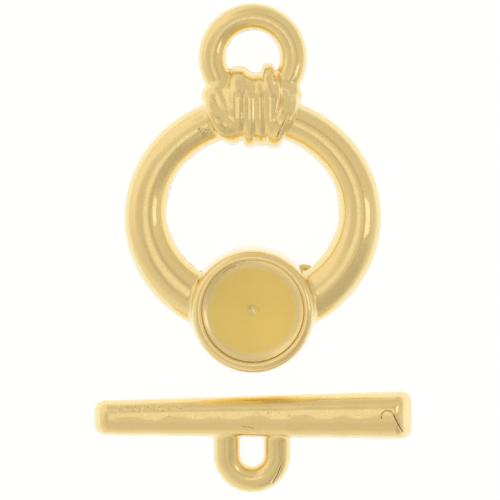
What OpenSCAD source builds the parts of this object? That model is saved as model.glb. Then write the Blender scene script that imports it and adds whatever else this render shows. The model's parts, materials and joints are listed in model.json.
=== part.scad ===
// Toggle clasp: a cast ring with an eye, a wrapped collar and an open bezel cup,
// and a loose tapered bar with its own loop. Both lie on the plane z = 0.
// X runs along the bar, Y from the bar's loop to the ring's eye, Z up.

/* [Ring] */
// Width of the ring over its tube
ring_w = 18.3; // [15:0.1:24]
// Height of the ring over its tube
ring_h = 17.4; // [15:0.1:24]
// Thickness of the ring's tube at the top
tube_top = 2.8; // [2:0.1:3.6]
// Thickness of the ring's tube at the sides
tube_side = 2.95; // [2:0.1:3.6]
// Width of the ring's tube at the foot, under the cup
tube_foot = 3.7; // [2.4:0.1:5]
// Depth of the ring's tube at the foot, front to back
tube_foot_depth = 3.1; // [2:0.1:4]

/* [Eye] */
// Width of the hole in the eye
eye_hole = 3.94; // [3:0.02:6]
// Thickness of the eye's wire
eye_wire = 1.9; // [1.2:0.1:2.6]
// Height of the eye's wire over the ring's tube, centre to centre
eye_rise = 1.17; // [0.6:0.01:2]

/* [Collar] */
// Thickness of one strand of the collar
strand = 0.94; // [0.6:0.02:1.2]
// Reach of the outermost strands to each side
collar_reach = 3.35; // [2.4:0.05:4.5]
// How much of a strand is sunk in what it is wound on
strand_sunk = 0.1; // [0:0.02:0.3]

/* [Bezel cup] */
// Width of the bore that the stone drops into
seat_bore = 7.3; // [5:0.1:9]
// Depth of the bore below the rim
seat_depth = 1.2; // [0.6:0.1:2]
// Thickness of the wall at the rim
rim_wall = 0.64; // [0.4:0.02:1]
// Rounding of the rim's edges
rim_round = 0.22; // [0.05:0.01:0.3]
// How much the cup's base is wider than its rim, on each side
cup_flare = 0.31; // [0:0.01:0.8]
// Height of the cup from its flat back to its rim
cup_h = 4.6; // [3.6:0.1:6]
// Fall of the cone floor from the bore to the pin mark
floor_fall = 0.75; // [0.2:0.05:1.5]
// Width of the pin mark in the middle of the floor
pin_mark = 0.56; // [0.4:0.02:1.2]
// Depth of the pin mark below the floor
pin_depth = 0.1; // [0.05:0.05:1]
// How far the cup's centre stands above the centre of the ring's foot
cup_lift = 0.2; // [-0.6:0.05:1]

/* [Bar] */
// Length of the bar
bar_len = 22.8; // [18:0.1:30]
// Thickness of the bar at its thin left end
bar_thin = 2.5; // [2:0.05:4]
// Thickness of the bar at its thick right end
bar_thick = 3.44; // [2:0.02:5]
// Rounding of the bar's ends
bar_round = 0.75; // [0.2:0.05:0.95]

/* [Bar loop] */
// Width of the loop over its wire
loop_w = 5.5; // [4.4:0.1:8]
// Thickness of the loop's wire
loop_wire = 1.9; // [1.2:0.1:2]
// Length of the loop from the bar's surface to its far end
loop_len = 4.06; // [3:0.02:7]
// How far the loop stands off the bar's middle, to the thick end
loop_shift = -0.08; // [-2:0.02:2]

/* [Layout] */
// Gap between the cup and the bar as they lie
lay_gap = 1.57; // [0.5:0.01:6]
// How far the bar lies turned from square, in degrees
bar_turn = 0.6; // [-3:0.1:3]

/* [Hidden] */
$fn = 64;

// Sections along the faceted tubes, and sides round them
tube_rings = 64;
tube_sides = 16;
strand_rings = 20;
strand_sides = 8;

// Steps in a rounded edge, the least flat left between two of them, and how far a cut runs past
round_steps = 6;
least_flat = 0.01;
overrun = 1;

// The ring's outer edge and its opening are two ovals in plan, in the ring's own frame
opening_w = ring_w - 2 * tube_side;
opening_h = ring_h - tube_top - tube_foot;
opening_y = (tube_foot - tube_top) / 2;
mid_w = (ring_w + opening_w) / 4;
mid_h = (ring_h + opening_h) / 4;
mid_y = opening_y / 2;
top_y = mid_y + mid_h;
foot_y = mid_y - mid_h;

// The eye is centred on its wire's path, and the wire is flattened a little inside the hole
eye_path = (eye_hole + eye_wire) / 2;
eye_y = top_y + eye_rise + eye_path;
eye_flat = 0.04;

// Cup, round the centre of the ring's foot
rim_r = seat_bore / 2 + rim_wall;
base_r = rim_r + cup_flare;
cup_y = foot_y + cup_lift;

// The ring lies on the back of its collar, level with the back of its cup
ring_z = tube_top / 2 + strand - strand_sunk;

// The bar lies on its lower side, which is level, so its axis slopes
bar_slope = atan((bar_thick - bar_thin) / 2 / (bar_len - 2 * bar_round));
bar_mid_r = (bar_thin + bar_thick) / 4;
bar_y = cup_y - base_r - lay_gap - bar_mid_r;

// The loop hangs down from the bar's axis until its wire lies on the surface
loop_path = (loop_w - loop_wire) / 2;
loop_reach = bar_mid_r + loop_len - loop_wire / 2;
loop_droop = asin((bar_mid_r - loop_wire / 2) / loop_reach);

// The whole part is centred on the origin from the eye's top to the loop's end
far_top = eye_y + eye_path + eye_wire / 2;
far_end = bar_y - loop_reach * cos(loop_droop) - loop_wire / 2;
centre_y = (far_top + far_end) / 2;

// One row for each strand, from left to right:
// top and foot, where it crosses, as shares of collar_reach;
// rise and drop, how far it stands out past a tight winding, as shares of strand;
// eye, 1 if it is wound over the eye's wire too, 0 if only over the ring's tube
STRANDS = [
    [-0.95, -0.58, 0.10, 0.00, 0],
    [-0.68, -0.45, 0.15, 0.00, 0],
    [-0.34, -0.35, 0.40, 0.00, 1],
    [-0.07, -0.08, 0.20, 0.30, 1],
    [ 0.19,  0.18, 0.40, 0.15, 1],
    [ 0.42,  0.44, 0.70, 0.30, 1],
    [ 0.66,  0.50, 0.15, 0.00, 0],
    [ 0.92,  0.57, 0.10, 0.00, 0],
];

function arc(x, y, r, from, to) = [
    for (i = [0 : round_steps])
        let (a = from + (to - from) * i / round_steps)
        [x + r * cos(a), y + r * sin(a)]
];

// Triangles of a closed tube of rings, each with the same number of sides
function tube_faces(rings, sides) = [
    for (i = [0 : rings - 1], j = [0 : sides - 1])
        let (
            next = (i + 1) % rings,
            side = (j + 1) % sides,
            a = i * sides + j,
            b = i * sides + side,
            c = next * sides + side,
            d = next * sides + j
        )
        each [[a, c, b], [a, d, c]]
];

// Centre line of the ring's tube at its top, x off the middle
function tube_y(x) = mid_y + mid_h * sqrt(1 - pow(x / mid_w, 2));

module hoop() {
    points = [
        for (i = [0 : tube_rings - 1])
            let (
                t = 360 * i / tube_rings,
                outer = [ring_w / 2 * cos(t), ring_h / 2 * sin(t)],
                inner = [opening_w / 2 * cos(t), opening_y + opening_h / 2 * sin(t)],
                middle = (outer + inner) / 2,
                half = (outer - inner) / 2,
                depth = tube_top + (tube_foot_depth - tube_top) * (1 - sin(t)) / 2
            )
            for (j = [0 : tube_sides - 1])
                let (
                    s = 360 * j / tube_sides,
                    flat = middle + half * cos(s)
                )
                [flat.x, flat.y, -depth / 2 * sin(s)]
    ];
    polyhedron(points, tube_faces(tube_rings, tube_sides), convexity = 4);
}

module eye() {
    translate([0, eye_y, 0])
        rotate_extrude()
            intersection() {
                translate([eye_path, 0])
                    circle(d = eye_wire);
                translate([eye_hole / 2 + eye_flat, -eye_wire])
                    square([eye_wire, 2 * eye_wire]);
            }
}

// A strand is wound tight round two rods, the ring's tube and the eye's wire:
// its path has, for each outward direction, the point of whichever reaches further
module collar_strand(row) {
    top_x = row[0] * collar_reach;
    foot_x = row[1] * collar_reach;
    over = strand / 2 - strand_sunk;
    path = [
        for (i = [0 : strand_rings - 1])
            let (
                a = 360 * i / strand_rings,
                out = [cos(a), sin(a)],
                x = foot_x + (top_x - foot_x) * (1 + cos(a)) / 2,
                slack = strand * (a < 90 || a > 270 ? row[2] : row[3]) * pow(cos(a), 2),
                tube = [tube_y(x), 0] + (tube_top / 2 + over + slack) * out,
                wire = [tube_y(0) + eye_rise, 0] + (eye_wire / 2 + over + slack) * out,
                at = row[4] == 1 && wire * out > tube * out ? wire : tube
            )
            [x, at.x, at.y]
    ];
    points = [
        for (i = [0 : strand_rings - 1])
            let (
                a = 360 * i / strand_rings,
                out = [0, cos(a), sin(a)],
                ahead = path[(i + 1) % strand_rings],
                behind = path[(i + strand_rings - 1) % strand_rings],
                along = (ahead - behind) / norm(ahead - behind),
                across = cross(along, out) / norm(cross(along, out)),
                up = cross(across, along)
            )
            for (j = [0 : strand_sides - 1])
                let (s = 360 * j / strand_sides)
                path[i] + strand / 2 * (cos(s) * up + sin(s) * across)
    ];
    polyhedron(points, tube_faces(strand_rings, strand_sides), convexity = 4);
}

module cup_body() {
    edge = min(rim_round, rim_wall / 2 - least_flat);
    rotate_extrude()
        polygon(concat(
            [[0, 0]],
            arc(base_r - edge, edge, edge, -90, 0),
            arc(rim_r - edge, cup_h - edge, edge, 0, 90),
            arc(seat_bore / 2 + edge, cup_h - edge, edge, 90, 180),
            [
                [seat_bore / 2, cup_h - seat_depth],
                [pin_mark / 2, cup_h - seat_depth - floor_fall],
                [0, cup_h - seat_depth - floor_fall]
            ]
        ));
}

// The space inside the cup, which also clears the ring's tube out of it
module cup_hollow() {
    translate([0, 0, cup_h - seat_depth])
        cylinder(d = seat_bore, h = seat_depth + overrun);
    translate([0, 0, cup_h - seat_depth - floor_fall])
        cylinder(d1 = pin_mark, d2 = seat_bore, h = floor_fall);
    translate([0, 0, cup_h - seat_depth - floor_fall - pin_depth])
        cylinder(d = pin_mark, h = pin_depth + overrun);
}

module toggle_ring() {
    color("#d9b96f")
        translate([0, -centre_y, 0])
            difference() {
                union() {
                    translate([0, 0, ring_z]) {
                        hoop();
                        eye();
                        for (row = STRANDS)
                            collar_strand(row);
                    }
                    translate([0, cup_y, 0])
                        cup_body();
                }
                translate([0, cup_y, 0])
                    cup_hollow();
            }
}

module bar_body() {
    thin_r = bar_thin / 2;
    thick_r = bar_thick / 2;
    rotate([0, -bar_slope, 0])
        rotate([0, 90, 0])
            rotate_extrude()
                polygon(concat(
                    [[0, -bar_len / 2]],
                    arc(thin_r - bar_round, bar_round - bar_len / 2, bar_round, -90, 0),
                    arc(thick_r - bar_round, bar_len / 2 - bar_round, bar_round, 0, 90),
                    [[0, bar_len / 2]]
                ));
}

module bar_loop() {
    leg = loop_reach - loop_path;
    rotate([loop_droop, 0, 0]) {
        for (side = [-1, 1])
            translate([side * loop_path, 0, 0])
                rotate([90, 0, 0])
                    cylinder(d = loop_wire, h = leg);
        translate([0, -leg, 0])
            rotate([0, 0, 180])
                rotate_extrude(angle = 180)
                    translate([loop_path, 0])
                        circle(d = loop_wire);
    }
}

module toggle_bar() {
    color("#e0c37c")
        translate([0, bar_y - centre_y, bar_mid_r])
            rotate([0, 0, bar_turn]) {
                bar_body();
                translate([loop_shift, 0, 0])
                    bar_loop();
            }
}

toggle_ring();
toggle_bar();
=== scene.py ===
import json
import math

import bmesh
import bpy
import numpy as np
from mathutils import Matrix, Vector


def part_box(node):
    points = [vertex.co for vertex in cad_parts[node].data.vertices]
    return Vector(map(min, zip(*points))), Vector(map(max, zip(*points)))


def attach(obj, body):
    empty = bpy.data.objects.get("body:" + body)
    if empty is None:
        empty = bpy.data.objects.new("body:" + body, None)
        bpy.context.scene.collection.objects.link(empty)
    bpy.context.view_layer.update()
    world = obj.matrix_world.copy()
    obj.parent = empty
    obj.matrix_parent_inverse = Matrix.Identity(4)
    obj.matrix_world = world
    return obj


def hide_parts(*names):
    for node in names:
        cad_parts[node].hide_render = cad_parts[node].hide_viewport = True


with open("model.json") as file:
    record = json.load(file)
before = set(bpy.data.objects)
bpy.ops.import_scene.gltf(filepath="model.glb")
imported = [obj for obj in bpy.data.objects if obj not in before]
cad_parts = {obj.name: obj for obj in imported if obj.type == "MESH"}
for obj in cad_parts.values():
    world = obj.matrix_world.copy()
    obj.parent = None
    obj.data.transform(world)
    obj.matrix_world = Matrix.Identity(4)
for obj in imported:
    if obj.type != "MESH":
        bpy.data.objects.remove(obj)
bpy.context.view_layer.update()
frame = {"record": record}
print("frame loaded")

mm = 0.001  # sizes are given in millimetres and turned to metres when a mesh is made
mounts = {mount["name"]: [v / mm for v in mount["pos_m"]] for mount in frame["record"]["mounts"]}


def linear(hexColour):
    # sRGB hex to a linear colour with alpha
    parts = [int(hexColour[i:i + 2], 16) / 255 for i in (1, 3, 5)]
    parts = [c / 12.92 if c <= 0.04045 else ((c + 0.055) / 1.055) ** 2.4 for c in parts]
    return tuple(parts) + (1.0,)


def addNode(tree, kind, inputs=None, **settings):
    # inputs holds, by socket, a value or another node's output
    node = tree.nodes.new(kind)
    for name, value in settings.items():
        setattr(node, name, value)
    for socket, value in (inputs or {}).items():
        if isinstance(value, bpy.types.NodeSocket):
            tree.links.new(value, node.inputs[socket])
        else:
            node.inputs[socket].default_value = value
    return node


# Camera, straight above but for a small tilt, with the photograph's frame
cameraSet = {
    "pxPerMm": 14.0,      # at the height of the ring's tube
    "frame": 500,         # px, width and height of the photograph
    "middle": (-0.20, -0.07),   # what lies in the middle of the frame, X and Y in mm
    "tilt": 2.0,          # degrees, the camera leans over from the eye's side
    "distance": 400.0,    # mm
    "sensor": 36.0,       # mm
    "clip": 10.0,         # mm, nothing nearer than this is drawn
}


def makeCamera():
    s = cameraSet
    camera = bpy.data.objects.new("camera", bpy.data.cameras.new("camera"))
    bpy.context.scene.collection.objects.link(camera)
    tilt = math.radians(s["tilt"])
    x, y = s["middle"]
    z = mounts["eye"][2]
    place = Vector((x, y + s["distance"] * math.sin(tilt), z + s["distance"] * math.cos(tilt)))
    camera.location = place * mm
    camera.rotation_euler = (-tilt, 0, 0)
    camera.data.sensor_width = s["sensor"]
    camera.data.lens = s["sensor"] * s["distance"] * s["pxPerMm"] / s["frame"]
    camera.data.clip_start = s["clip"] * mm
    bpy.context.scene.camera = camera


makeCamera()
print("camera placed")


# Everything cast is described by its distance from the surface, in mm, negative inside.
# Soft minimum and maximum melt two forms together with a fillet, as cast metal has.
def softMin(a, b, blend):
    near = np.maximum(blend - np.abs(a - b), 0) / blend
    return np.minimum(a, b) - near * near * blend / 4


def softMax(a, b, blend):
    return -softMin(-a, -b, blend)


farOff = 9.0   # mm, the distance that stands for "nothing near here"


def meltTogether(forms, x, y, z):
    # forms are (distance function, lowest corner, highest corner, blend)
    d = np.full(x.shape, farOff)
    for form, low, high, blend in forms:
        near = (x > low[0]) & (x < high[0]) & (y > low[1]) & (y < high[1])
        near &= (z > low[2]) & (z < high[2])
        if near.any():
            d[near] = softMin(d[near], form(x[near], y[near], z[near]), blend)
    return d


def wireChain(points, radius, x, y, z):
    # distance from a round wire through the points
    best = np.full(x.shape, farOff ** 2)
    for a, b in zip(points[:-1], points[1:]):
        run = b - a
        px, py, pz = x - a[0], y - a[1], z - a[2]
        t = np.clip((px * run[0] + py * run[1] + pz * run[2]) / (run @ run), 0, 1)
        px, py, pz = px - t * run[0], py - t * run[1], pz - t * run[2]
        best = np.minimum(best, px ** 2 + py ** 2 + pz ** 2)
    return np.sqrt(best) - radius


def bandChain(points, halfWidth, halfHeight, square, x, y, z):
    # distance from a flat-backed strand through the points; its width lies along X
    best = np.full(x.shape, farOff ** 2)
    aside = np.zeros(x.shape)
    for a, b in zip(points[:-1], points[1:]):
        run = b - a
        px, py, pz = x - a[0], y - a[1], z - a[2]
        t = np.clip((px * run[0] + py * run[1] + pz * run[2]) / (run @ run), 0, 1)
        px, py, pz = px - t * run[0], py - t * run[1], pz - t * run[2]
        far = px * px + py * py + pz * pz
        aside = np.where(far < best, np.abs(px), aside)
        best = np.minimum(best, far)
    out = np.sqrt(np.maximum(best - aside ** 2, 0))
    k = ((aside / halfWidth) ** square + (out / halfHeight) ** square) ** (1 / square)
    return (k - 1) * halfHeight


# Slow unevenness, mostly between -1 and 1, from a few waves
def ripple(seed, wave, *places):
    dice = np.random.default_rng(seed)
    total = np.zeros(places[0].shape)
    for i in range(5):
        way = dice.normal(size=len(places))
        way *= 2 * math.pi / (wave * dice.uniform(0.7, 1.5) * np.linalg.norm(way))
        total += np.sin(sum(w * p for w, p in zip(way, places)) + dice.uniform(0, 2 * math.pi))
    return total / 3


# The ring, its eye and its tube
hoopSizes = {
    "width": 18.3, "height": 17.4,
    "topTube": 2.8, "sideTube": 2.95, "footTube": 3.7,   # seen from the front
    "topDepth": 2.8, "footDepth": 3.1,                   # front to back
    "eyePath": 2.92, "eyeWire": 1.9, "eyeRise": 1.17,
    "blend": 0.35,                                       # fillet where the eye leaves the tube
}
eyeX, eyeY, ringZ = mounts["eye"]
outerW, outerH = hoopSizes["width"] / 2, hoopSizes["height"] / 2
openW = outerW - hoopSizes["sideTube"]
openH = outerH - (hoopSizes["topTube"] + hoopSizes["footTube"]) / 2
openY = (hoopSizes["footTube"] - hoopSizes["topTube"]) / 2
midW, midH, midY = (outerW + openW) / 2, (outerH + openH) / 2, openY / 2
wireY = eyeY - hoopSizes["eyePath"]            # the eye's wire at its lowest
topY = wireY - hoopSizes["eyeRise"]            # the tube's centre line at the ring's top
hoopY = topY - midH - midY                     # the middle of the ring's outer oval


def hoopForm(x, y, z):
    # the angle of the nearest point on the tube's centre line, by Newton steps
    u, v = x, y - hoopY - midY
    t = np.arctan2(v / midH, u / midW)
    for step in range(4):
        c, s = np.cos(t), np.sin(t)
        slope = (midW * c - u) * -midW * s + (midH * s - v) * midH * c
        bend = (midW * s) ** 2 + (midH * c) ** 2 - (midW * c - u) * midW * c
        bend = bend - (midH * s - v) * midH * s
        t = t - np.clip(slope / np.maximum(bend, 4.0), -0.5, 0.5)
    c, s = np.cos(t), np.sin(t)
    run = np.hypot(midH * c, midW * s)
    off = ((u - midW * c) * midH * c + (v - midH * s) * midW * s) / run
    halfW = np.hypot((outerW - openW) * c, (outerH - openH) * s - openY) / 2
    deeper = hoopSizes["footDepth"] - hoopSizes["topDepth"]
    halfD = (hoopSizes["topDepth"] + deeper * (1 - s) / 2) / 2
    rise = z - ringZ
    k = np.hypot(off / halfW, rise / halfD) + 1e-6
    return (k - 1) * k / (np.hypot(off / halfW ** 2, rise / halfD ** 2) + 1e-6)


def eyeForm(x, y, z):
    off = np.hypot(x - eyeX, y - eyeY) - hoopSizes["eyePath"]
    return np.hypot(off, z - ringZ) - hoopSizes["eyeWire"] / 2


# The wrapped collar: strands wound round the tube and the eye's wire
collarSizes = {
    "over": 0.37,         # a strand's middle above what it is wound on
    "halfHeight": 0.42, "square": 2.5,
    "lift": 0.48,         # how much higher their fronts run over the eye's wire
    "settle": 0.08,       # how much lower their fronts lie over the tube
    "sweep": 0.8,         # below 1, a slanting strand keeps to its side longer before it turns in
    "tuck": 0.16,         # how far its top turns in under the eye
    "tuckFrom": 0.7, "tuckOver": 0.3,         # where that begins and over how much, of the way up
    "points": 72,         # on the loop that a strand makes
    "step": 0.25,         # mm, the even steps that it is then drawn with
    "heartBlend": 0.3, "heartFillet": 0.35,   # between the rods, and from them to the rest
}
# The metal that fills the wrap, as rods: from, to, radius. The fifth closes a pit that the left
# groove would cut open
heartRods = [
    ((-1.75, 10.40, 2.96), (1.85, 10.40, 2.96), 0.82),
    ((-1.75, 10.40, 1.52), (1.85, 10.40, 1.52), 0.82),
    ((-1.45, 10.95, 3.19), (1.75, 10.95, 3.19), 0.76),
    ((-2.85, 10.90, 2.56), (-2.10, 11.25, 2.76), 0.80),
    ((-2.66, 11.10, 2.96), (-2.56, 10.30, 3.26), 0.62),
    ((2.75, 10.95, 2.50), (2.00, 11.25, 2.70), 0.78),
]
# For each strand: x and furthest y at its top, x and furthest y at its foot, half its width at
# both, how much lower it lies than the middle ones, its fillet, and whether it goes over the eye's
# wire too
strandRows = [
    ((-3.32, 11.30), (-1.62, 7.60), (0.38, 0.36), -0.04, 0.42, False),
    ((-2.50, 11.50), (-1.46, 7.62), (0.34, 0.30), 0.02, 0.32, False),
    ((-1.86, 11.50), (-1.36, 7.64), (0.34, 0.30), 0.10, 0.38, False),
    ((-1.00, 13.00), (-1.18, 7.56), (0.62, 0.45), 0.00, 0.26, True),
    ((-0.22, 12.62), (-0.24, 7.24), (0.38, 0.43), 0.01, 0.26, True),
    ((0.40, 12.62), (0.61, 7.38), (0.34, 0.37), 0.02, 0.26, True),
    ((1.06, 13.29), (1.49, 7.24), (0.42, 0.46), -0.01, 0.26, True),
    ((1.66, 12.60), (1.78, 7.55), (0.28, 0.26), 0.09, 0.26, True),
    ((2.10, 11.50), (1.66, 7.50), (0.34, 0.28), 0.10, 0.38, False),
    ((2.52, 11.50), (1.52, 7.40), (0.34, 0.30), 0.02, 0.32, False),
    ((3.12, 11.32), (1.50, 7.36), (0.38, 0.34), -0.04, 0.26, False),
]


def tubeY(x):
    return hoopY + midY + midH * math.sqrt(1 - (x / midW) ** 2)


def strandPath(row):
    (topX, topReach), (footX, footReach), _, low, _, overEye = row
    s = collarSizes
    tubeR = hoopSizes["topTube"] / 2 + s["over"] - low
    wireR = hoopSizes["eyeWire"] / 2 + s["over"] - low
    rise = topReach - s["halfHeight"] - (wireY + wireR if overEye else tubeY(topX) + tubeR)
    drop = tubeY(footX) - tubeR - s["halfHeight"] - footReach
    points = []
    for i in range(s["points"] + 1):
        a = 2 * math.pi * i / s["points"]
        out = np.array([math.cos(a), math.sin(a)])
        t = (1 + out[0]) / 2
        x = footX + (topX - footX) * t ** s["sweep"]
        if not overEye:
            x -= math.copysign(s["tuck"] * max(0, t - s["tuckFrom"]) / s["tuckOver"], topX)
        slack = (rise if out[0] > 0 else drop) * out[0] ** 2
        front = max(0, out[1])
        tube = np.array([tubeY(x), -s["settle"] * front]) + (tubeR + slack) * out
        wire = np.array([wireY, s["lift"] * front]) + (wireR + slack) * out
        at = wire if overEye and wire @ out > tube @ out else tube
        points.append([x, at[0], ringZ + at[1]])
    points = np.array(points)
    # even steps along the strand
    runs = np.concatenate([[0], np.cumsum(np.linalg.norm(np.diff(points, axis=0), axis=1))])
    steps = np.linspace(0, runs[-1], int(runs[-1] / s["step"]) + 2)
    return np.stack([np.interp(steps, runs, points[:, i]) for i in range(3)], 1)


def heartForm(x, y, z):
    d = np.full(x.shape, farOff)
    for rodFrom, rodTo, radius in heartRods:
        rod = wireChain(np.array([rodFrom, rodTo]), radius, x, y, z)
        d = softMin(d, rod, collarSizes["heartBlend"])
    return d


def collarForms():
    s = collarSizes
    forms = [(heartForm, np.array([-4.5, 8.5, -1.0]), np.array([4.5, 13.0, 6.0]), s["heartFillet"])]
    for row in strandRows:
        points = strandPath(row)
        atTop, atFoot = row[2]

        def strand(x, y, z, points=points, atTop=atTop, atFoot=atFoot):
            halfWidth = atFoot + (atTop - atFoot) * np.clip((y - 8) / 4.5, 0, 1)
            return bandChain(points, halfWidth, s["halfHeight"], s["square"], x, y, z)

        forms.append((strand, points.min(0) - 1, points.max(0) + 1, row[4]))
    return forms


# The bezel cup, round the axis of the stone's seat
cupSizes = {
    "bore": 7.3, "rimWall": 0.64, "flare": 0.31,
    "seatDepth": 1.2, "floorFall": 0.75, "pinMark": 0.56, "pinDepth": 0.06,
    "rimCrown": 0.04,                        # how far the rim's middle stands over its edges
    "rimRound": 0.55, "boreRound": 0.12,     # the rim's outer and inner edge
    "barrel": 0.10,                          # how far the outside bulges between rim and foot
    "turnUp": 0.45, "turnSteep": 40.0,       # along its edge the floor turns up, to so many degrees
    "cornerRound": 0.06,                     # where the bore's wall meets the floor
    "pinRound": 0.2,
    "footRound": 0.30,
    "blend": 0.30,                           # fillet where the ring runs into the cup
}
cupX, cupY = mounts["stone_seat"][0], mounts["stone_seat"][1]
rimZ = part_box("toggle_ring")[1].z / mm
boreR = cupSizes["bore"] / 2
rimR = boreR + cupSizes["rimWall"]
seatZ = rimZ - cupSizes["seatDepth"]
pinR = cupSizes["pinMark"] / 2
pinZ = seatZ - cupSizes["floorFall"] - cupSizes["pinDepth"]


def cupForm(x, y, z):
    s = cupSizes
    r = np.hypot(x - cupX, y - cupY)
    lean = math.hypot(rimZ, s["flare"])
    up = np.clip(z / rimZ, 0, 1)
    wall = ((r - rimR - 4 * s["barrel"] * up * (1 - up)) * rimZ - (rimZ - z) * s["flare"]) / lean
    off = np.clip((r - boreR) * 2 / s["rimWall"] - 1, -1.5, 1.5)
    top = z - rimZ + s["rimCrown"] * off ** 2
    return softMax(softMax(wall, top, s["rimRound"]), -z, s["footRound"])


def cupHollow(x, y, z):
    # negative in the space that the stone sits in
    s = cupSizes
    r = np.hypot(x - cupX, y - cupY)
    steep = s["floorFall"] / (boreR - pinR)
    edge = np.clip((r - boreR) / s["turnUp"] + 1, 0, 1.3)
    floorZ = seatZ - (boreR - r) * steep
    floorZ += edge ** 2 * s["turnUp"] * (math.tan(math.radians(s["turnSteep"])) - steep) / 2
    hollow = softMax(r - boreR, (floorZ - z) * 0.95, s["cornerRound"])
    return softMin(hollow, softMax(r - pinR, pinZ - z, s["pinRound"]), s["pinRound"])


flatRound = 0.05   # mm, the rounding along a flat back


def ringField(x, y, z):
    d = meltTogether(ringForms, x, y, z)
    near = (np.hypot(x - cupX, y - cupY) < rimR + 0.6)
    d[near] = softMax(d[near], -cupHollow(x[near], y[near], z[near]), cupSizes["boreRound"])
    # the backs lie flat on the surface
    return softMax(d, -z, flatRound)


noEnd = 99.0   # mm, past everything
everywhere = (np.full(3, -noEnd), np.full(3, noEnd))
# Each form is worked out only inside its own box, which reaches past it by more than its fillets
tubeBox = (np.array([-noEnd, hoopY - outerH - 1, 0.2]), np.array([noEnd, topY + 2.2, noEnd]))
eyeBox = (np.array([-4.8, wireY - 1.8, 0.2]), np.array([4.8, eyeY + 4.8, noEnd]))
cupBox = (np.array([cupX - 5.6, cupY - 5.6, -1.0]), np.array([cupX + 5.6, cupY + 5.6, noEnd]))
# A thin web of flash is left in the corner between cup and hoop
webSizes = {
    "across": [(3.56, -1.17, 1.1), (4.20, -1.34, 1.1)],
    "inner": [(3.62, -1.30, 1.0), (3.98, -1.46, 1.0)],
    "radius": 0.11, "thicker": 0.10,   # the inner part is so much thicker
    "melt": 0.1, "blend": 0.15,
}


def webForm(x, y, z):
    s = webSizes
    edge = wireChain(np.array(s["across"]), s["radius"], x, y, z)
    inner = wireChain(np.array(s["inner"]), s["radius"] + s["thicker"], x, y, z)
    return softMin(edge, inner, s["melt"])


ringForms = [
    (hoopForm, *tubeBox, hoopSizes["blend"]),
    (eyeForm, *eyeBox, hoopSizes["blend"]),
    *collarForms(),
    (cupForm, *cupBox, cupSizes["blend"]),
    (webForm, *cupBox, webSizes["blend"]),
]

# Small marks of the casting: grooves and pits, each through its points in X and Y, in mm. A
# mark's dark is how far from its middle dull brown is painted into it
ringMarks = [
    {"path": [(-2.14, -1.66), (-1.66, -1.33), (-1.12, -1.14)],
     "width": 0.07, "depth": 0.012, "dark": 0.014},
    {"path": [(-3.74, -1.46), (-3.72, -1.50)], "width": 0.12, "depth": 0.08, "dark": 0.10},
    {"path": [(-2.72, 10.85), (-2.30, 10.07), (-1.74, 8.90)], "width": 0.17, "depth": 0.11},
    {"path": [(2.20, 11.05), (1.70, 9.50)], "width": 0.14, "depth": 0.09},
    {"path": [(2.44, 9.60), (1.72, 8.05)], "width": 0.05, "depth": 0.05, "dark": 0.014},
]
partingSizes = {
    "fin": 0.07, "thick": 0.06, "wave": 2.5,   # its height, its thickness, how fast it varies
    "dark": 0.035,                             # half the width of the painted shadow on its crest
    "darkWave": 1.6, "darkAbove": -0.7,        # the painted shadow breaks where a slow wave falls below this
}
ringUneven = {"depth": 0.005, "wave": 2.6}     # mm, the slow unevenness of the ring's surface


def pitsAmong(seed, count, low, high, width, depth, dark=0):
    # scattered pits in a patch
    dice = np.random.default_rng(seed)
    places = dice.uniform(low, high, (count, 2))
    return [{
        "path": [tuple(p), tuple(p + dice.normal(size=2) * width)],
        "width": width * dice.uniform(0.6, 1.2),
        "depth": depth * dice.uniform(-0.6, 1.0),
        "dark": dark * dice.uniform(-1, 1),
    } for p in places]


ringMarks += pitsAmong(5, 26, (-3.85, 8.05), (-3.05, 8.60), 0.06, 0.030, 0.032)
ringMarks += pitsAmong(6, 9, (4.10, -2.95), (4.40, -2.45), 0.05, 0.015)


def awayFrom(mark, x, y):
    points = [np.array([*p, 0.0]) for p in mark["path"]]
    return wireChain(points, 0.0, x, y, np.zeros(x.shape))


def grooves(marks, x, y):
    total = np.zeros(x.shape)
    for mark in marks:
        corners = np.array(mark["path"])
        low, high = corners.min(0) - 4 * mark["width"], corners.max(0) + 4 * mark["width"]
        near = (x > low[0]) & (x < high[0]) & (y > low[1]) & (y < high[1])
        if near.any():
            away = awayFrom(mark, x[near], y[near])
            total[near] += mark["depth"] * np.exp(-(away / mark["width"]) ** 2)
    return total


def insideRing(x, y):
    # in the hoop's opening or in the eye's hole, as far as the middle of the tube
    cup = np.hypot(x - cupX, y - cupY) > rimR + 0.7
    hoop = (x / midW) ** 2 + ((y - hoopY - midY) / midH) ** 2 < 1
    return (hoop & cup) | (np.hypot(x - eyeX, y - eyeY) < hoopSizes["eyePath"])


def ringSkin(x, y, z):
    s = partingSizes
    d = ringField(x, y, z) + np.where(z > ringZ, grooves(ringMarks, x, y), 0)
    # the mould's halves meet at mid height and leave a low fin
    fin = s["fin"] * np.exp(-((z - ringZ) / s["thick"]) ** 2)
    fin = fin * (0.6 + 0.4 * ripple(11, s["wave"], x, y))
    d = d - np.where(insideRing(x, y), fin, 0)
    outside = np.hypot(x - cupX, y - cupY) > rimR + 0.5
    uneven = ringUneven["depth"] * ripple(12, ringUneven["wave"], x, y, z)
    return d + np.where(outside, uneven, 0)


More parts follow.
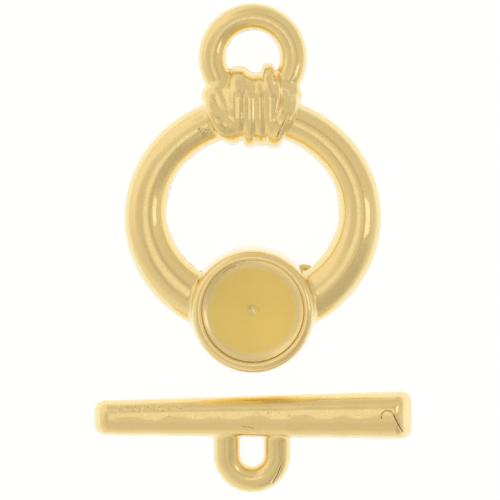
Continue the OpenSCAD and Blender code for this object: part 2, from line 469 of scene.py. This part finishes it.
# The bar and its loop
barSizes = {
    "length": 22.8, "thin": 2.5, "thick": 3.44, "endRound": 0.75,
    "square": 2.6,        # its section is a little squarer than round
    "lean": 0.45,         # how far back the ends lean, for their height
    "roll": 2.2, "rollWave": 3.6,   # degrees and mm, how its worn back wavers
    "turn": 0.6,          # degrees, as it lies
    "loopWidth": 5.5, "loopWire": 1.9, "loopLength": 4.06, "loopShift": -0.08,
    "blend": 0.30,        # fillet where the loop leaves the bar
    "uneven": 0.003, "unevenWave": 1.3,
}
barTaper = (barSizes["thick"] - barSizes["thin"]) / 2
barSlope = math.atan(barTaper / (barSizes["length"] - 2 * barSizes["endRound"]))
barZ = (barSizes["thin"] + barSizes["thick"]) / 4
loopPath = (barSizes["loopWidth"] - barSizes["loopWire"]) / 2
loopReach = barZ + barSizes["loopLength"] - barSizes["loopWire"] / 2
loopDroop = math.asin((barZ - barSizes["loopWire"] / 2) / loopReach)
barLow, barHigh = (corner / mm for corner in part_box("toggle_bar"))
barX = (barLow.x + barHigh.x) / 2
barY = barLow.y + loopReach * math.cos(loopDroop) + barSizes["loopWire"] / 2


def barFrame(x, y, z):
    # along and across the bar, as it lies turned
    a = math.radians(barSizes["turn"])
    u, v = x, y - barY
    return u * math.cos(a) + v * math.sin(a), v * math.cos(a) - u * math.sin(a), z - barZ


def barForm(x, y, z):
    s = barSizes
    along, across, up = barFrame(x, y, z)
    c, n = math.cos(barSlope), math.sin(barSlope)
    along, up = along * c + up * n, up * c - along * n
    roll = math.radians(s["roll"]) * ripple(21, s["rollWave"], along)
    across, up = across - up * roll, up + across * roll
    halfL = s["length"] / 2
    share = (along + halfL - s["endRound"]) / (s["length"] - 2 * s["endRound"])
    radius = s["thin"] / 2 + barTaper * share
    p = s["square"]
    side = (np.abs(across) ** p + np.abs(up) ** p) ** (1 / p) - radius
    high = softMax(up, 0.0, 0.4)
    end = (np.abs(along) - halfL + s["lean"] * high) * 0.93
    r = s["endRound"] * (1 - 0.35 * np.clip(high / radius, 0, 1))
    corner = np.hypot(np.maximum(side + r, 0), np.maximum(end + r, 0)) - r
    return np.where((side > -r) & (end > -r), corner, np.maximum(side, end))


def loopForm(x, y, z):
    along, across, up = barFrame(x, y, z)
    along = along - barSizes["loopShift"]
    c, n = math.cos(loopDroop), math.sin(loopDroop)
    out, up = -across * c - up * n, up * c - across * n
    leg = loopReach - loopPath
    ring = np.where(out > leg, np.hypot(along, out - leg), np.abs(along)) - loopPath
    wire = np.hypot(ring, up) - barSizes["loopWire"] / 2
    return np.maximum(wire, -out)


def barField(x, y, z):
    return meltTogether(barForms, x, y, z)


loopBox = (np.array([barX - 3.6, barLow.y - 1, -1.0]), np.array([barX + 3.6, barY + 0.2, noEnd]))
barForms = [(barForm, *everywhere, 0.1), (loopForm, *loopBox, barSizes["blend"])]

barMarks = [
    {"path": [(-5.99, -12.00), (-5.96, -12.02)], "width": 0.06, "depth": 0.05},
    {"path": [(-0.84, -12.57), (-0.55, -12.70), (-0.36, -12.66), (0.09, -12.80)],
     "width": 0.04, "depth": 0.04, "dark": 0.012},
    {"path": [(9.16, -12.14), (9.20, -11.74), (9.50, -11.48), (9.85, -11.54), (10.06, -11.80)],
     "width": 0.045, "depth": 0.045, "dark": 0.013},
    {"path": [(10.06, -11.85), (10.33, -12.40), (10.65, -12.98)],
     "width": 0.06, "depth": 0.07, "dark": 0.035},
    {"path": [(10.14, -11.62), (10.25, -11.68)], "width": 0.10, "depth": -0.03},
    # the dark brown along this streak on the loop is painted shadow
    {"path": [(1.42, -16.74), (1.76, -16.16), (2.04, -15.45)],
     "width": 0.09, "depth": 0.05, "dark": 0.026},
]
barMarks += pitsAmong(7, 40, (-9.60, -11.60), (-5.00, -11.24), 0.045, 0.038, 0.022)
barMarks += pitsAmong(8, 24, (0.00, -11.90), (3.00, -11.35), 0.035, 0.020, 0.015)


def barSkin(x, y, z):
    d = barField(x, y, z) + np.where(z > barZ, grooves(barMarks, x, y), 0)
    return d + barSizes["uneven"] * ripple(22, barSizes["unevenWave"], x, y, z)


# From distances to a mesh: one vertex in each grid cell that the surface passes through
def surfaceNet(field, low, high, cell):
    lines = [np.arange(a - 2 * cell, b + 3 * cell, cell) for a, b in zip(low, high)]
    grid = np.meshgrid(*lines, indexing="ij")
    values = field(*(g.ravel() for g in grid)).reshape(grid[0].shape)
    cells = [len(line) - 1 for line in lines]
    quads, crossings = [], []
    for axis in range(3):
        first = tuple(slice(None, -1) if i == axis else slice(None) for i in range(3))
        second = tuple(slice(1, None) if i == axis else slice(None) for i in range(3))
        a, b = values[first], values[second]
        at = np.argwhere((a < 0) != (b < 0))
        va, vb = a[tuple(at.T)], b[tuple(at.T)]
        point = np.stack([lines[i][at[:, i]] for i in range(3)], 1)
        point[:, axis] += cell * va / (va - vb)
        corners = []
        for du, dv in ((0, 0), (1, 0), (1, 1), (0, 1)):
            owner = at.copy()
            owner[:, (axis + 1) % 3] -= du
            owner[:, (axis + 2) % 3] -= dv
            corners.append(np.ravel_multi_index(tuple(owner.T), cells))
        corners = np.stack(corners, 1)
        corners[va > 0] = corners[va > 0][:, ::-1]
        quads.append(corners)
        crossings.append(point)
    quads, crossings = np.concatenate(quads), np.concatenate(crossings)
    number = np.unique(quads.ravel(), return_inverse=True)[1]
    count = np.bincount(number)
    middles = [np.bincount(number, np.repeat(crossings[:, i], 4)) / count for i in range(3)]
    return np.stack(middles, 1), number.reshape(-1, 4)


def slopeOf(field, points, step=0.01):
    # the field's gradient, by central differences
    x, y, z = points.T
    return np.stack([
        field(x + step, y, z) - field(x - step, y, z),
        field(x, y + step, z) - field(x, y - step, z),
        field(x, y, z + step) - field(x, y, z - step),
    ], 1) / (2 * step)


def pullToSurface(field, points, rounds, furthest=0.08):
    for turn in range(rounds):
        slope = slopeOf(field, points)
        size = np.maximum((slope ** 2).sum(1), 0.2)
        move = -slope * (field(*points.T) / size)[:, None]
        length = np.linalg.norm(move, axis=1)[:, None]
        points = points + move * np.minimum(1, furthest / np.maximum(length, 1e-9))
    return points


def evenOut(field, points, edges, rounds):
    # each vertex slides along the surface towards the middle of its neighbours
    count = np.bincount(edges.ravel(), minlength=len(points))[:, None]
    one, other = edges[:, 0], edges[:, 1]
    for turn in range(rounds):
        total = np.zeros_like(points)
        for i in range(3):
            total[:, i] = (np.bincount(one, points[other, i], len(points))
                           + np.bincount(other, points[one, i], len(points)))
        move = total / count - points
        slope = slopeOf(field, points)
        slope /= np.maximum(np.linalg.norm(slope, axis=1)[:, None], 1e-6)
        move -= slope * (move * slope).sum(1)[:, None]
        points = pullToSurface(field, points + 0.5 * move, 1)
    return points


def edgesOf(mesh):
    edges = np.empty(len(mesh.edges) * 2, np.int32)
    mesh.edges.foreach_get("vertices", edges)
    return edges.reshape(-1, 2)


def pointsOf(mesh):
    points = np.empty(len(mesh.vertices) * 3, np.float32)
    mesh.vertices.foreach_get("co", points)
    return points.reshape(-1, 3).astype(float)


def castSkin(name, field, skin, low, high, cell, finer):
    # field gives the plain form for the grid, skin is the same form with its small marks, and each
    # zone in finer halves the mesh's edges once more
    points, quads = surfaceNet(field, low, high, cell)
    mesh = bpy.data.meshes.new(name)
    mesh.from_pydata(points.tolist(), [], quads.tolist())
    points = evenOut(field, pullToSurface(field, points, 2), edgesOf(mesh), 4)
    for zone in finer:
        mesh.vertices.foreach_set("co", points.astype(np.float32).ravel())
        inside = zone(*points.T)
        work = bmesh.new()
        work.from_mesh(mesh)
        work.verts.ensure_lookup_table()
        cuts = [e for e in work.edges if all(inside[v.index] for v in e.verts)]
        bmesh.ops.subdivide_edges(work, edges=cuts, cuts=1, use_grid_fill=True)
        bmesh.ops.triangulate(work, faces=[f for f in work.faces if len(f.verts) > 4])
        work.to_mesh(mesh)
        work.free()
        points = evenOut(field, pullToSurface(field, pointsOf(mesh), 1), edgesOf(mesh), 1)
    points = pullToSurface(skin, points, 2)
    normals = slopeOf(skin, points)
    normals /= np.linalg.norm(normals, axis=1)[:, None]
    mesh.vertices.foreach_set("co", (points * mm).astype(np.float32).ravel())
    mesh.update()
    mesh.shade_smooth()
    mesh.normals_split_custom_set_from_vertices(normals.tolist())
    piece = bpy.data.objects.new(name, mesh)
    bpy.context.scene.collection.objects.link(piece)
    print(name, "triangles", len(mesh.loops) - 2 * len(mesh.polygons))
    return piece


# Ring casting, with a finer mesh round the rim, the collar, the fin and the marks; in mm
ringMesh = {
    "cell": 0.18,
    "rimZone": 0.9,                # from the bore's edge inwards
    "collarZone": (4.0, 3.0),      # half its width and height
    "collarUp": 0.4,               # how far its middle is above the tube's
    "fin": 0.26, "paintedFinShadow": 0.12,  # above and below mid height
    "marks": (0.30, 0.15),         # round each mark, for the fine and the finer mesh
}


def nearRim(x, y, z):
    r = np.hypot(x - cupX, y - cupY)
    return (r > boreR - ringMesh["rimZone"]) & (r < rimR + 0.25) & (z > seatZ - 0.3)


def nearEdges(x, y, z):
    r = np.hypot(x - cupX, y - cupY)
    wall = (z > rimZ - 0.5) | (r < boreR + 0.1)
    return (r > boreR - 0.2) & (r < rimR + 0.12) & (z > seatZ - 0.1) & wall


def nearCollar(x, y):
    halfW, halfH = ringMesh["collarZone"]
    return (np.abs(x) < halfW) & (np.abs(y - topY - ringMesh["collarUp"]) < halfH)


def paintedFinShadow(x, y):
    # the fin's crest is painted with shadow along the left of the hoop and of the eye
    hoop = (x < -2.5) & (y < 6) & (y > -2)
    eye = (np.hypot(x - eyeX, y - eyeY) < hoopSizes["eyePath"]) & (x < -0.9) & (y < eyeY + 1.2)
    return (hoop | eye) & insideRing(x, y)


def nearMarks(marks, reach, x, y):
    near = np.zeros(x.shape, bool)
    for mark in marks:
        near |= awayFrom(mark, x, y) < mark["width"] + reach
    return near


def ringFine(x, y, z):
    fin = (np.abs(z - ringZ) < ringMesh["fin"]) & insideRing(x, y)
    marks = nearMarks(ringMarks, ringMesh["marks"][0], x, y) & (z > ringZ)
    return nearRim(x, y, z) | nearCollar(x, y) | fin | marks


def ringFiner(x, y, z):
    fin = (np.abs(z - ringZ) < ringMesh["paintedFinShadow"]) & paintedFinShadow(x, y)
    marks = nearMarks(ringMarks, ringMesh["marks"][1], x, y) & (z > ringZ)
    return nearEdges(x, y, z) | fin | marks


ringLow, ringHigh = (np.array(corner / mm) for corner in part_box("toggle_ring"))
ringPiece = castSkin("toggle_ring_casting", ringField, ringSkin, ringLow, ringHigh,
                     ringMesh["cell"], [ringFine, ringFiner])
print("ring cast")

# Bar casting, in mm
barMesh = {"cell": 0.11, "marks": (0.22, 0.10)}


def barFine(x, y, z):
    return nearMarks(barMarks, barMesh["marks"][0], x, y) & (z > barZ)


def barFiner(x, y, z):
    return nearMarks(barMarks, barMesh["marks"][1], x, y) & (z > barZ)


barPiece = castSkin("toggle_bar_casting", barField, barSkin, np.array(barLow), np.array(barHigh),
                    barMesh["cell"], [barFine, barFiner])
print("bar cast")


# Cast pewter with polished gold plate: pale yellow mirror, sharp enough for thin lines in it, with
# a haze from fine dull specks, and lacquered, so that edges turn pale
plateSet = {
    "gold": "#FFEAA8", "deeper": "#FAE39E",
    "metal": 1.0,
    "smooth": 0.09, "dull": 0.45,
    "speckMm": 0.04, "speckFrom": 0.50, "speckTo": 0.56,   # how much is dull
    "cloudMm": 2.5,       # size of the faint differences in the plating
    "peelMm": 0.35,       # size of the orange-peel of a tumbled casting
    "peelDepth": 0.006,   # mm
}

# The same plate over a floor left as cast: satin, deeper in colour, with no lines in it
satinSet = {
    "gold": "#FFE68A", "deeper": "#FFE180",
    "metal": 0.82,        # its fine grain scatters a part of the light
    "smooth": 0.42, "dull": 0.60,
    "speckMm": 0.08, "speckFrom": 0.40, "speckTo": 0.60,
    "cloudMm": 1.6,
    "peelMm": 0.12,
    "peelDepth": 0.004,
}


def plateMaterial(name, s, lacquer, rings=()):
    # rings are given from the cup's axis: where one begins and is whole, its colour, its roughness.
    # The mix node's sockets 2 and 3 are its two numbers, and 6 and 7 its two colours
    material = bpy.data.materials.new(name)
    material.use_nodes = True
    tree = material.node_tree
    tree.nodes.clear()
    place = addNode(tree, "ShaderNodeTexCoord").outputs["Object"]
    cloud = addNode(tree, "ShaderNodeTexNoise", {
        "Vector": place, "Scale": 1 / (s["cloudMm"] * mm), "Detail": 3.0})
    tint = addNode(tree, "ShaderNodeMix", {
        "Factor": cloud.outputs["Fac"], 6: linear(s["gold"]), 7: linear(s["deeper"])},
        data_type="RGBA")
    speck = addNode(tree, "ShaderNodeTexNoise", {
        "Vector": place, "Scale": 1 / (s["speckMm"] * mm), "Detail": 1.0})
    rough = addNode(tree, "ShaderNodeMapRange", {
        "Value": speck.outputs["Fac"], "From Min": s["speckFrom"], "From Max": s["speckTo"],
        "To Min": s["smooth"], "To Max": s["dull"]})
    colour, dullness = tint.outputs["Result"], rough.outputs["Result"]
    flat = addNode(tree, "ShaderNodeVectorMath", {
        0: place, 1: (1.0, 1.0, 0.0)}, operation="MULTIPLY")
    off = addNode(tree, "ShaderNodeVectorMath", {
        0: flat.outputs["Vector"], 1: (cupX * mm, cupY * mm, 0.0)}, operation="DISTANCE")
    for begin, whole, ringColour, ringRough in rings:
        mask = addNode(tree, "ShaderNodeMapRange", {
            "Value": off.outputs["Value"], "From Min": begin * mm, "From Max": whole * mm},
            interpolation_type="SMOOTHSTEP").outputs["Result"]
        colour = addNode(tree, "ShaderNodeMix", {
            "Factor": mask, 6: colour, 7: linear(ringColour)}, data_type="RGBA").outputs["Result"]
        dullness = addNode(tree, "ShaderNodeMix", {
            "Factor": mask, 2: dullness, 3: ringRough}).outputs["Result"]
    peel = addNode(tree, "ShaderNodeTexNoise", {
        "Vector": place, "Scale": 1 / (s["peelMm"] * mm), "Detail": 2.0})
    bump = addNode(tree, "ShaderNodeBump", {
        "Height": peel.outputs["Fac"], "Distance": s["peelDepth"] * mm, "Strength": 0.5})
    shader = addNode(tree, "ShaderNodeBsdfPrincipled", {
        "Base Color": colour, "Metallic": s["metal"], "Roughness": dullness,
        "Coat Weight": lacquer, "Coat Roughness": 0.08, "Normal": bump.outputs["Normal"]})
    addNode(tree, "ShaderNodeOutputMaterial", {"Surface": shader.outputs["BSDF"]})
    return material


plate = plateMaterial("cast_pewter_polished_gold_plate", plateSet, 1.0)
satin = plateMaterial("cast_pewter_satin_gold_plate", satinSet, 0.3, [
    (boreR - 0.80, boreR - 0.32, "#FFE8A8", 0.22),      # the floor's edge is polished
    (boreR - 0.045, boreR - 0.015, "#B49E60", 0.30),    # painted shade: a dark ring in the corner under the wall
])
for piece, node in ((ringPiece, "toggle_ring"), (barPiece, "toggle_bar")):
    piece.data.materials.append(plate)
    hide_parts(node)
    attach(piece, "root")


def middlesOf(mesh):
    middles = np.empty(len(mesh.polygons) * 3, np.float32)
    mesh.polygons.foreach_get("center", middles)
    return middles.reshape(-1, 3).T / mm


def onFloor(mesh):
    # which faces belong to the floor of the cup
    x, y, z = middlesOf(mesh)
    r = np.hypot(x - cupX, y - cupY)
    return (r < boreR + 0.03) & (r > pinR + 0.02) & (z < rimZ - 0.25) & (z > 1.0)


def inDarkMark(mesh, marks, above):
    # which faces lie within a mark's dark, painted dull brown; on the loop's streak, painted shadow
    x, y, z = middlesOf(mesh)
    dark = np.zeros(x.shape, bool)
    for mark in marks:
        if mark.get("dark", 0) > 0:
            dark |= (awayFrom(mark, x, y) < mark["dark"]) & (z > above)
    return dark


def onFin(mesh):
    # the faces on the fin's crest that get the painted shadow
    x, y, z = middlesOf(mesh)
    s = partingSizes
    held = ripple(31, s["darkWave"], x, y) > s["darkAbove"]
    return (np.abs(z - ringZ) < s["dark"]) & paintedFinShadow(x, y) & held


# Dull brown painted into marks so each reads as a dark line; on the fin and loop, painted shadow
darkMarkAndShadowSet = {
    "gold": "#8A6A30", "deeper": "#76592A",
    "metal": 1.0,
    "smooth": 0.45, "dull": 0.65,
    "speckMm": 0.04, "speckFrom": 0.4, "speckTo": 0.6,
    "cloudMm": 0.4,
    "peelMm": 0.05,
    "peelDepth": 0.004,
}
darkMarkAndShadow = plateMaterial("dark_marks_and_painted_shadow", darkMarkAndShadowSet, 0.0)


def paintFaces(mesh, more, numbers):
    # the plate is material 0, and the ones in more are 1 and on
    for material in more:
        mesh.materials.append(material)
    mesh.polygons.foreach_set("material_index", numbers.astype(np.int32))


barMetal, ringMetal = barPiece.data, ringPiece.data
# dull brown in the bar's marks; along the loop's streak it is painted shadow
paintFaces(barMetal, [darkMarkAndShadow], inDarkMark(barMetal, barMarks, barZ))
# dull brown in the ring's marks, and painted shadow on the fin's crest
darkMarksAndFinShadow = inDarkMark(ringMetal, ringMarks, 1.9) | onFin(ringMetal)
paintFaces(ringMetal, [satin, darkMarkAndShadow], np.where(darkMarksAndFinShadow, 2, onFloor(ringMetal)))
print("materials set")


# White opal acrylic sheet lit from below, as product photographs use: it glows, and throws back
# hardly any light from above
floorSet = {
    "radius": 400.0, "sides": 96,   # mm
    "colour": "#FEFEFC",
    "grey": 0.06, "rough": 0.9,     # the share of that light, and how dull the sheet is
    "glow": 0.96, "far": 0.74,      # over its lamp, and away from it
    "lamp": (18.5, 30.0),           # mm from the middle: its lamp is whole, and is out
}


def makeFloor():
    s = floorSet
    mesh = bpy.data.meshes.new("floor")
    work = bmesh.new()
    bmesh.ops.create_circle(work, cap_ends=True, radius=s["radius"] * mm, segments=s["sides"])
    work.to_mesh(mesh)
    work.free()
    floor = bpy.data.objects.new("floor", mesh)
    bpy.context.scene.collection.objects.link(floor)
    material = bpy.data.materials.new("opal_acrylic_sheet_lit_from_below")
    material.use_nodes = True
    tree = material.node_tree
    tree.nodes.clear()
    place = addNode(tree, "ShaderNodeTexCoord").outputs["Object"]
    part = addNode(tree, "ShaderNodeSeparateXYZ", {"Vector": place})
    asideX = addNode(tree, "ShaderNodeMath", {0: part.outputs["X"]}, operation="ABSOLUTE")
    asideY = addNode(tree, "ShaderNodeMath", {0: part.outputs["Y"]}, operation="ABSOLUTE")
    out = addNode(tree, "ShaderNodeMath", {
        0: asideX.outputs["Value"], 1: asideY.outputs["Value"]}, operation="MAXIMUM")
    glow = addNode(tree, "ShaderNodeMapRange", {
        "Value": out.outputs["Value"], "From Min": s["lamp"][0] * mm, "From Max": s["lamp"][1] * mm,
        "To Min": s["glow"], "To Max": s["far"]}, interpolation_type="SMOOTHSTEP")
    shader = addNode(tree, "ShaderNodeBsdfPrincipled", {
        "Base Color": (s["grey"],) * 3 + (1.0,), "Roughness": s["rough"], "Specular IOR Level": 0.0,
        "Emission Color": linear(s["colour"]), "Emission Strength": glow.outputs["Result"]})
    addNode(tree, "ShaderNodeOutputMaterial", {"Surface": shader.outputs["BSDF"]})
    mesh.materials.append(material)


makeFloor()

# The studio: a white tent. Angles are from straight overhead, and round from the bar's thick end
# towards the eye, in degrees
studioSet = {
    "cloth": "#FFF5E8",
    # how bright the tent is at each angle; the dip gives the darker lines beside a tube's middle
    "tent": [(0, 0.73), (17, 0.72), (22, 0.55), (29, 0.51),
             (34, 0.70), (60, 0.71), (80, 0.73), (95, 0.86)],
    # brighter and darker parts of the cloth, round spots that fade over soft on both sides of their
    # edge; each lies over the ones before it
    "cards": {
        "brightWall": {"over": 68.0, "round": 138.0, "radius": 42.0, "soft": 18.0, "level": 0.95},
        "shade": {"over": 52.0, "round": 310.0, "radius": 27.0, "soft": 14.0, "level": 0.52},
        "lowWall": {"over": 36.0, "round": 268.0, "radius": 14.0, "soft": 14.0, "level": 0.68},
        "topShade": {"over": 56.0, "round": 92.0, "radius": 15.0, "soft": 12.0, "level": 0.65},
        "sideShade": {"over": 38.0, "round": 172.0, "radius": 12.0, "soft": 12.0, "level": 0.655},
        "footLight": {"over": 97.0, "round": 238.0, "radius": 34.0, "soft": 20.0, "level": 0.88},
        "backShade": {"over": 98.0, "round": 38.0, "radius": 30.0, "soft": 18.0, "level": 0.66},
    },
    "seen": 1.0,   # how bright the plain white past the floor's edge is
}


def direction(over, around):
    a, b = math.radians(over), math.radians(around)
    return (math.sin(a) * math.cos(b), math.sin(a) * math.sin(b), math.cos(a))


def makeStudio():
    s = studioSet
    world = bpy.data.worlds.new("studio")
    bpy.context.scene.world = world
    world.cycles.sampling_method = "NONE"   # rays that leave the metal find the tent by themselves
    world.use_nodes = True
    tree = world.node_tree
    tree.nodes.clear()
    cloth = linear(s["cloth"])[:3]
    look = addNode(tree, "ShaderNodeTexCoord").outputs["Generated"]
    part = addNode(tree, "ShaderNodeSeparateXYZ", {"Vector": look})
    height = addNode(tree, "ShaderNodeMath", {
        0: part.outputs["Z"], 1: 0.5, 2: 0.5}, operation="MULTIPLY_ADD")
    ramp = addNode(tree, "ShaderNodeValToRGB", {"Fac": height.outputs["Value"]})
    stops = sorted((0.5 + 0.5 * math.cos(math.radians(a)), level) for a, level in s["tent"])
    ramp.color_ramp.elements.remove(ramp.color_ramp.elements[0])
    for i, (at, level) in enumerate(stops):
        stop = ramp.color_ramp.elements[0] if i == 0 else ramp.color_ramp.elements.new(at)
        stop.position = at
        stop.color = [level * c for c in cloth] + [1.0]
    light = ramp.outputs["Color"]
    for card in s["cards"].values():
        toCard = addNode(tree, "ShaderNodeVectorMath", {
            0: look, 1: direction(card["over"], card["round"])}, operation="DOT_PRODUCT")
        mask = addNode(tree, "ShaderNodeMapRange", {
            "Value": toCard.outputs["Value"],
            "From Min": math.cos(math.radians(card["radius"] + card["soft"])),
            "From Max": math.cos(math.radians(card["radius"] - card["soft"]))},
            interpolation_type="SMOOTHSTEP")
        cardColour = [card["level"] * c for c in cloth] + [1.0]
        mix = addNode(tree, "ShaderNodeMix", {
            "Factor": mask.outputs["Result"], 6: light, 7: cardColour}, data_type="RGBA")
        light = mix.outputs["Result"]
    tent = addNode(tree, "ShaderNodeBackground", {"Color": light, "Strength": 1.0})
    # what the camera sees past the floor's edge, and what lights the floor, is plain white
    plain = addNode(tree, "ShaderNodeBackground", {
        "Color": (1.0, 1.0, 1.0, 1.0), "Strength": s["seen"]})
    path = addNode(tree, "ShaderNodeLightPath")
    glossy = addNode(tree, "ShaderNodeMixShader", {
        0: path.outputs["Is Glossy Ray"], 1: plain.outputs["Background"],
        2: tent.outputs["Background"]})
    addNode(tree, "ShaderNodeOutputWorld", {"Surface": glossy.outputs["Shader"]})


# Two lamps inside the tent, places and sizes in mm; level is their brightness beside the tent's
lampSet = {
    "side_softbox": {
        "place": (40.0, 0.8, 40.0), "aim": (0.0, 0.8, 2.0), "size": (14.0, 22.0), "level": 0.48},
    "overhead_softbox": {
        "place": (-6.0, -2.5, 98.0), "aim": (-6.0, -2.5, 0.0), "size": (36.0, 31.0), "level": 0.19},
}


def makeLamp(name, s):
    lamp = bpy.data.lights.new(name, "AREA")
    lamp.shape = "RECTANGLE"
    lamp.size, lamp.size_y = (side * mm for side in s["size"])
    # a lamp's face looks as bright as its energy over four times its area
    lamp.energy = 4 * s["level"] * s["size"][0] * s["size"][1] * mm * mm
    holder = bpy.data.objects.new(name, lamp)
    bpy.context.scene.collection.objects.link(holder)
    place, aim = Vector(s["place"]), Vector(s["aim"])
    holder.location = place * mm
    holder.rotation_euler = (aim - place).to_track_quat("-Z", "Y").to_euler()
    holder.visible_camera = False


makeStudio()
for name, lampSizes in lampSet.items():
    makeLamp(name, lampSizes)
bpy.context.scene.view_settings.view_transform = "Standard"
print("studio lit")
